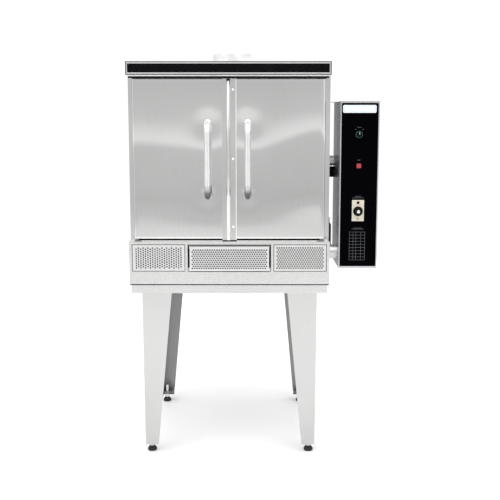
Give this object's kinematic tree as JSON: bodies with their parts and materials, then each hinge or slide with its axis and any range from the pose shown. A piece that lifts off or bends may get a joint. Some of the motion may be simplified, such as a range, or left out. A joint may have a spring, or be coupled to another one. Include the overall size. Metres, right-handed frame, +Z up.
{
  "type": "two-door convection oven on stand",
  "caption": "Floor-standing gas convection oven: two hinged steel doors over a perforated burner base, on tapered legs, with a side control box.",
  "frame": {"origin": "middle of the whole footprint on the floor, control box and motor included", "axes": "+X to the right seen from the front, the doors face -Y, +Z up"},
  "size_m": [0.9848, 0.9667, 1.664],
  "materials": {
    "stainless": "brushed stainless sheet, slightly wavy",
    "stainless_liner": "brushed stainless, heat dulled",
    "stand_steel": "satin steel sheet",
    "bright_steel": "polished stainless",
    "wire_chrome": "plated wire",
    "dark_steel": "dark mill-finish steel",
    "foot_black": "black moulded foot",
    "black_enamel": "gloss black",
    "black_plastic": "black moulded plastic",
    "white_plate": "white enamel",
    "green_ring": "green plastic ring",
    "red_lens": "red lens",
    "ivory_plate": "ivory plate",
    "fibre": "mineral fibre",
    "gasket_rope": "woven glass rope",
    "blower_aluminium": "spun aluminium",
    "shaft_steel": "ground steel",
    "motor_paint": "dark grey paint",
    "valve_brass": "cast brass"
  },
  "bodies": {
    "oven": {"side_panel_left": "stainless", "side_panel_right": "stainless", "back_panel": "stainless", "top_panel": "stainless", "fascia_panel": "stainless", "grille_left": "stainless", "grille_right": "stainless", "front_frame": "stainless", "canopy": "stainless", "flue_box": "stainless", "control_box": "stainless", "cavity_liner": "stainless_liner", "fan_baffle": "stainless_liner", "stand_frame": "stand_steel", "leg_front_left": "stand_steel", "leg_front_right": "stand_steel", "leg_rear_left": "stand_steel", "leg_rear_right": "stand_steel", "base_pan": "stand_steel", "conduits": "bright_steel", "rack_support_left": "wire_chrome", "rack_support_right": "wire_chrome", "rack_lower": "wire_chrome", "rack_middle": "wire_chrome", "rack_upper": "wire_chrome", "door_hinges": "dark_steel", "box_brackets": "dark_steel", "burner_tubes": "dark_steel", "gas_manifold": "dark_steel", "canopy_insert": "black_enamel", "control_panel": "black_enamel", "conduit_gland": "black_plastic", "thermostat_body": "black_plastic", "name_plate": "white_plate", "selector_bezel": "green_ring", "pilot_lamp": "red_lens", "thermostat_plate": "ivory_plate", "body_insulation": "fibre", "door_gasket": "gasket_rope", "fan_motor": "motor_paint", "gas_valve": "valve_brass"},
    "door_right": {"door_skin_right": "stainless", "door_liner_right": "stainless_liner", "door_insulation_right": "fibre", "door_handle_right": "bright_steel", "astragal": "stainless", "astragal_screws": "bright_steel"},
    "door_left": {"door_skin_left": "stainless", "door_liner_left": "stainless_liner", "door_insulation_left": "fibre", "door_handle_left": "bright_steel"},
    "burner_access": {"burner_door": "stainless"},
    "blower": {"blower_wheel": "blower_aluminium", "blower_shaft": "shaft_steel"},
    "selector": {"selector_knob": "black_plastic"},
    "thermostat": {"thermostat_knob": "black_plastic"},
    "foot_fl": {"foot_front_left": "foot_black"},
    "foot_fr": {"foot_front_right": "foot_black"},
    "foot_rl": {"foot_rear_left": "foot_black"},
    "foot_rr": {"foot_rear_right": "foot_black"}
  },
  "joints": [
    {"name": "right_door_hinge", "type": "hinge", "parent": "oven", "child": "door_right", "pos_m": [0.2736, -0.40665, 1.21], "axis": [0, 0, 1], "range_deg": [0, 115]},
    {"name": "left_door_hinge", "type": "hinge", "parent": "oven", "child": "door_left", "pos_m": [-0.4584, -0.40665, 1.21], "axis": [0, 0, -1], "range_deg": [0, 115]},
    {"name": "burner_door_hinge", "type": "hinge", "parent": "oven", "child": "burner_access", "pos_m": [-0.0924, -0.40565, 0.772], "axis": [1, 0, 0], "range_deg": [0, 90]},
    {"name": "blower_spin", "type": "hinge", "parent": "oven", "child": "blower", "pos_m": [-0.0924, 0.20935, 1.211], "axis": [0, 1, 0], "continuous": true},
    {"name": "selector_turn", "type": "hinge", "parent": "oven", "child": "selector", "pos_m": [0.4146, -0.43465, 1.3088], "axis": [0, -1, 0], "range_deg": [0, 90]},
    {"name": "thermostat_turn", "type": "hinge", "parent": "oven", "child": "thermostat", "pos_m": [0.4146, -0.44065, 1.0096], "axis": [0, -1, 0], "range_deg": [0, 300]},
    {"name": "foot_fl_screw", "type": "slide", "parent": "oven", "child": "foot_fl", "axis": [0, 0, -1], "range_m": [-0.012, 0.025]},
    {"name": "foot_fr_screw", "type": "slide", "parent": "oven", "child": "foot_fr", "axis": [0, 0, -1], "range_m": [-0.012, 0.025]},
    {"name": "foot_rl_screw", "type": "slide", "parent": "oven", "child": "foot_rl", "axis": [0, 0, -1], "range_m": [-0.012, 0.025]},
    {"name": "foot_rr_screw", "type": "slide", "parent": "oven", "child": "foot_rr", "axis": [0, 0, -1], "range_m": [-0.012, 0.025]}
  ],
  "couplings": [
    {"joint": "left_door_hinge", "follows": "right_door_hinge", "ratio": 1}
  ]
}
